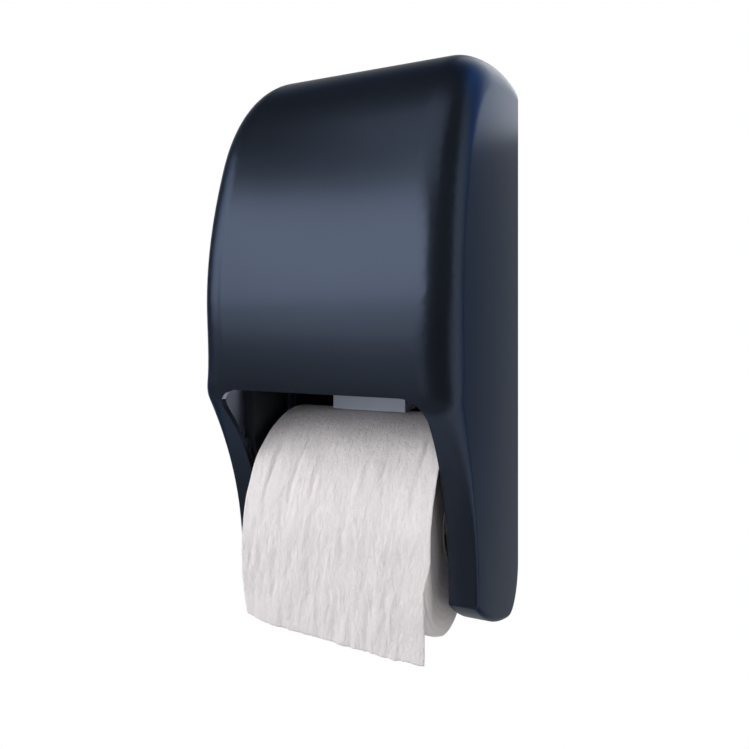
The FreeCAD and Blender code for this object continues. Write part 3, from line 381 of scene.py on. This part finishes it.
def wound_roll(name, z, seed, body, node):
    """Wound roll: its profile turned round its axis, with the seam at the back."""
    rng = np.random.default_rng(seed)
    left, right = roll_end(rng, -1), roll_end(rng, 1)
    profile = left + roll_outside() + right[::-1] + [(0.0, CORE_R, END)]
    points, uvs, faces, kinds = [], [], [], []
    angles = np.linspace(-np.pi, np.pi, TURNS, endpoint=False)
    for x, r, kind in profile:
        for a in angles:
            points.append((x, ROLL_Y - r * math.cos(a), z + r * math.sin(a)))
            uvs.append((x, r) if kind == END else (x, a * ROLL_R))
    count = len(profile)
    for i in range(count):
        j = (i + 1) % count
        both_end = profile[i][2] == END and profile[j][2] == END
        for k in range(TURNS):
            m = (k + 1) % TURNS
            faces.append((i * TURNS + k, i * TURNS + m, j * TURNS + m, j * TURNS + k))
            kinds.append(END if both_end else OUTSIDE)
    piece = mesh_object(name, points, faces, uvs, (PAPER, PAPER_END_PAINTED_SHADE), kinds)
    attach(piece, body)
    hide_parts(node)


wound_roll("wound_lower_roll", LOWER_Z, 3, "roll_in_use", "lower_roll")
wound_roll("wound_reserve_roll", RESERVE_Z, 8, "roll_in_reserve", "reserve_roll")


# Hanging sheet: it lies on the roll from behind its top to the front, then
# hangs free to a torn edge
SHEET_R, SHEET_THICK = 0.0602, 0.00018
SHEET_TOP = math.radians(125)
HANG_LEFT, HANG_RIGHT = 0.0440, 0.0492
SHEET_COLUMNS, SHEET_ROWS, TEAR_SEED = 150, 260, 21
TEAR_DEPTH, TEAR_FUZZ = 0.0009, 0.00012
# Left edge: drawn in towards the bottom
LEFT_EDGE, LEFT_DRAW, DRAW_FROM, DRAW_OVER = -0.0503, 0.0014, 0.020, 0.026
# Right edge: telescoped past the roll's end at the top, less so lower down
RIGHT_EDGE, TELESCOPE, TELESCOPE_FADE = 0.0500, 0.0042, 0.020
TELESCOPE_LAST_SHARE, TELESCOPE_FROM_SHARE, TELESCOPE_OVER_SHARE = 0.25, 0.2, 0.4
# Relief: seed, lean, cells across and along, height
RIPPLES = ((5, 0.0, (9, 12), 0.00055), (6, 0.12, (34, 14), 0.00038),
           (7, 0.10, (70, 34), 0.00019))
# Long creases at the upper left: place, lean, start, end, depth
CREASES = ((0.13, 0.10, 0.42, 0.66, 0.0011), (0.27, 0.10, 0.40, 0.64, 0.0008))
CREASE_WIDTH_SHARE = 0.012
# The sheet stands off the roll, but the brake flap presses it down over the top
STAND_OFF, PRESSED_OFF = 0.0008, 0.0002
PRESS_FROM, PRESS_OVER = math.radians(50), math.radians(30)
# Free corners curl back
CURL_FROM, CURL_OVER = 0.014, 0.03
LEFT_CURL, LEFT_CURL_SHARE = 0.0035, 0.18
RIGHT_CURL, RIGHT_CURL_SHARE = 0.0012, 0.1


def rise(value, start, over):
    """0 up to the start, then growing to 1."""
    return np.clip((value - start) / over, 0, 1)


def torn_edge():
    """Hanging length of each column, with an uneven tear."""
    rng = np.random.default_rng(TEAR_SEED)
    t = np.linspace(0, 1, SHEET_COLUMNS)
    tear = np.cumsum(rng.normal(0, 1, SHEET_COLUMNS))
    tear -= np.linspace(tear[0], tear[-1], SHEET_COLUMNS)
    tear = TEAR_DEPTH * tear / np.abs(tear).max() + rng.normal(0, TEAR_FUZZ, SHEET_COLUMNS)
    return t, HANG_LEFT + (HANG_RIGHT - HANG_LEFT) * t + tear


def sheet_relief(u, far, angle):
    """Height of the sheet over its plain path."""
    lift = sum(ripple(u + lean * far, far, seed, cells, height)
               for seed, lean, cells, height in RIPPLES)
    for at, lean, start, end, deep in CREASES:
        line = at - lean * (far - start)
        fade = np.sin(np.pi * rise(far, start, end - start))
        lift -= deep * fade * np.exp(-((u - line) / CREASE_WIDTH_SHARE) ** 2)
    press = rise(angle, PRESS_FROM, PRESS_OVER)
    return (STAND_OFF + lift) * (1 - press) + PRESSED_OFF * press


def torn_sheet():
    """Sheet in use, over the roll and down its front, with its free end below."""
    t, bottom = torn_edge()
    wrap = SHEET_R * SHEET_TOP
    u, v = np.meshgrid(t, np.linspace(0, 1, SHEET_ROWS), indexing="ij")
    run = v * (wrap + bottom[:, None])
    hang = np.clip(run - wrap, 0, None)
    angle = SHEET_TOP * (1 - np.clip(run / wrap, 0, 1))
    out = np.clip(1 - hang / TELESCOPE_FADE, TELESCOPE_LAST_SHARE, 1)
    out = out * rise(run, TELESCOPE_FROM_SHARE * wrap, TELESCOPE_OVER_SHARE * wrap)
    right = RIGHT_EDGE + TELESCOPE * out
    left = LEFT_EDGE + LEFT_DRAW * rise(hang, DRAW_FROM, DRAW_OVER) ** 2
    x = left + (right - left) * u
    reach = SHEET_R + sheet_relief(u, run / (wrap + HANG_RIGHT), angle)
    free = rise(hang, CURL_FROM, CURL_OVER) ** 2
    curl = LEFT_CURL * free * rise(LEFT_CURL_SHARE - u, 0, LEFT_CURL_SHARE) ** 2
    curl += RIGHT_CURL * free * rise(u, 1 - RIGHT_CURL_SHARE, RIGHT_CURL_SHARE) ** 2
    y = ROLL_Y - reach * np.cos(angle) + curl
    z = LOWER_Z + reach * np.sin(angle) - hang
    points = np.stack([x, y, z], -1).reshape(-1, 3)
    uvs = np.stack([x, run], -1).reshape(-1, 2)
    faces = [(i * SHEET_ROWS + j, (i + 1) * SHEET_ROWS + j,
              (i + 1) * SHEET_ROWS + j + 1, i * SHEET_ROWS + j + 1)
             for i in range(SHEET_COLUMNS - 1) for j in range(SHEET_ROWS - 1)]
    piece = mesh_object("torn_sheet", points.tolist(), faces, uvs, (PAPER,))
    thick = piece.modifiers.new("thick", "SOLIDIFY")
    thick.thickness = SHEET_THICK
    thick.offset = 0
    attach(piece, "chassis")
    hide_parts("paper_tail")


torn_sheet()


# Stage

FLOOR_Z, WALL_Y, STAGE_TOP, STAGE_HALF = -0.62, 3.0, 6.0, 14.0
FADE_FROM_Y, FADE_TO_Y = -0.40, 0.15
FRONT_GREY, STAGE_GREY, STAGE_ROUGH = 0.18, 0.86, 0.9
AIR_COLOUR, AIR_STRENGTH = (0.40, 0.41, 0.43, 1), 0.20


def pale_stage(name, points):
    """Plain sheet of the studio: white where it is seen behind the object,
    directly or in reflections, and grey in front."""
    mesh = bpy.data.meshes.new(name)
    mesh.from_pydata(points, [], [(0, 1, 2, 3)])
    sheet = bpy.data.objects.new(name, mesh)
    bpy.context.scene.collection.objects.link(sheet)
    n = Nodes(name)
    where = n.add("ShaderNodeSeparateXYZ", Vector=n.place()).outputs
    zone = n.span(where["Y"], 0.0, 1.0, FADE_FROM_Y, FADE_TO_Y)
    n.feed("Base Color", n.span(zone, FRONT_GREY, STAGE_GREY))
    n.feed("Roughness", STAGE_ROUGH)
    path = n.add("ShaderNodeLightPath").outputs
    seen = n.math("MAXIMUM", path["Is Camera Ray"], n.math(
        "MAXIMUM", path["Is Glossy Ray"], path["Is Transmission Ray"]))
    white = n.add("ShaderNodeEmission", Strength=1.0)
    pick = n.add("ShaderNodeMixShader", Fac=n.math("MULTIPLY", seen, zone))
    n.put(pick.inputs[1], n.shader.outputs["BSDF"])
    n.put(pick.inputs[2], white.outputs["Emission"])
    n.put(n.tree.nodes["Material Output"].inputs["Surface"], pick.outputs["Shader"])
    mesh.materials.append(n.material)


pale_stage("floor", [(-STAGE_HALF, -STAGE_HALF, FLOOR_Z), (STAGE_HALF, -STAGE_HALF, FLOOR_Z),
                     (STAGE_HALF, WALL_Y, FLOOR_Z), (-STAGE_HALF, WALL_Y, FLOOR_Z)])
pale_stage("backdrop", [(-STAGE_HALF, WALL_Y, FLOOR_Z), (STAGE_HALF, WALL_Y, FLOOR_Z),
                        (STAGE_HALF, WALL_Y, STAGE_TOP), (-STAGE_HALF, WALL_Y, STAGE_TOP)])

world = bpy.data.worlds.new("studio")
bpy.context.scene.world = world
world.use_nodes = True
air = world.node_tree.nodes["Background"]
air.inputs["Color"].default_value = AIR_COLOUR
air.inputs["Strength"].default_value = AIR_STRENGTH


# Light

LAMP_AIM = Vector((0, -0.08, 0.0))


def softbox(name, azimuth, elevation, away, size, glow, gloss=True):
    """Soft lamp round the object: azimuth 0 is in front, positive to the
    right.  Its glow is the brightness of its face, where 1 is white.  Without
    gloss it fills shadows and makes no highlight."""
    turn, rise_angle = math.radians(azimuth), math.radians(elevation)
    aim = Vector((math.sin(turn) * math.cos(rise_angle),
                  -math.cos(turn) * math.cos(rise_angle), math.sin(rise_angle)))
    lamp = bpy.data.lights.new(name, "AREA")
    lamp.shape = "RECTANGLE"
    lamp.size, lamp.size_y = size
    lamp.energy = glow * math.pi * size[0] * size[1]
    lit = bpy.data.objects.new(name, lamp)
    lit.location = LAMP_AIM + away * aim
    lit.rotation_euler = (-aim).to_track_quat("-Z", "Y").to_euler()
    lit.visible_glossy = gloss
    bpy.context.scene.collection.objects.link(lit)


softbox("key", azimuth=-13, elevation=19, away=1.9, size=(2.3, 1.35), glow=2.9)
softbox("left_key", azimuth=-66, elevation=19, away=1.9, size=(1.2, 1.35), glow=2.9)
softbox("side", azimuth=132, elevation=8, away=1.4, size=(1.1, 1.6), glow=4.8, gloss=False)
softbox("upper", azimuth=12, elevation=62, away=1.6, size=(1.6, 1.2), glow=0.9)
softbox("rim", azimuth=161, elevation=38, away=1.6, size=(0.9, 0.95), glow=4.4)
softbox("low", azimuth=52, elevation=-38, away=1.0, size=(0.7, 0.7), glow=0.7, gloss=False)


# Camera, fitted to the photograph

PHOTO_PX, FOCAL_PX, HORIZON_PX = 749, 574.0, 320.6
SENSOR_MM = 36.0
CAMERA_AT, CAMERA_TURN = (0.1303, -0.4025, 0.0122), math.radians(21.89)

lens = bpy.data.cameras.new("photo_camera")
lens.sensor_width = SENSOR_MM
lens.sensor_fit = "HORIZONTAL"
lens.lens = FOCAL_PX / PHOTO_PX * SENSOR_MM
lens.shift_y = (HORIZON_PX - PHOTO_PX / 2) / PHOTO_PX
camera = bpy.data.objects.new("photo_camera", lens)
camera.location = CAMERA_AT
camera.rotation_euler = (math.pi / 2, 0, CAMERA_TURN)
bpy.context.scene.collection.objects.link(camera)
bpy.context.scene.camera = camera
bpy.context.scene.view_settings.view_transform = "Standard"
